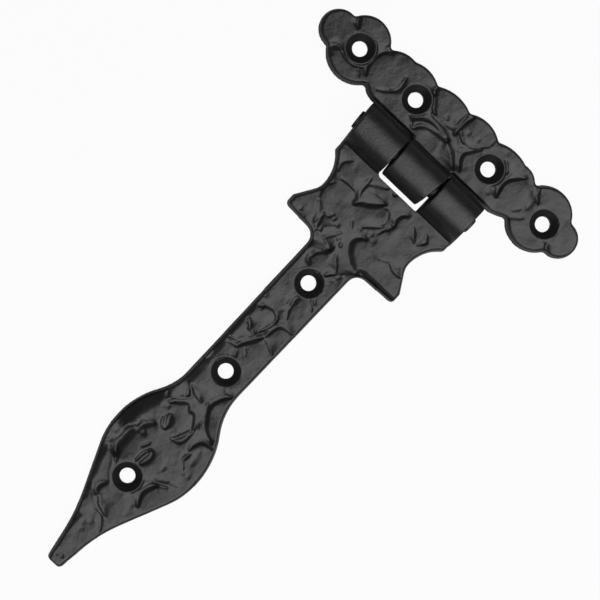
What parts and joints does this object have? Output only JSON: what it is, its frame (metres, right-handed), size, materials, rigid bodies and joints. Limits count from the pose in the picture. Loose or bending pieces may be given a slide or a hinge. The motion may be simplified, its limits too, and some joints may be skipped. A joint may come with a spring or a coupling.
{
  "type": "tee hinge",
  "caption": "Cast black tee hinge with a hammered face: a scalloped cross plate screws to the frame and a spear-ended strap swings on a barrel pin.",
  "frame": {"origin": "on the back of the cross plate, on the line of its outer screw holes, at the middle of the barrel's length", "axes": "+X along the pin and the cross plate, +Y from the strap towards the cross plate's scalloped edge, +Z out of the hammered face"},
  "size_m": [0.1135, 0.2035, 0.0148],
  "materials": {
    "coated_iron": "satin black powder coat on a hammered casting",
    "coated_steel": "satin black coat on a turned steel pin"
  },
  "bodies": {
    "cross_plate": {"cross_plate": "coated_iron"},
    "strap": {"strap_leaf": "coated_iron", "hinge_pin": "coated_steel"}
  },
  "joints": [
    {"name": "leaf_swing", "type": "hinge", "parent": "cross_plate", "child": "strap", "pos_m": [0, -0.0177, 0.0074], "axis": [-1, 0, 0], "range_deg": [-90, 180]}
  ]
}
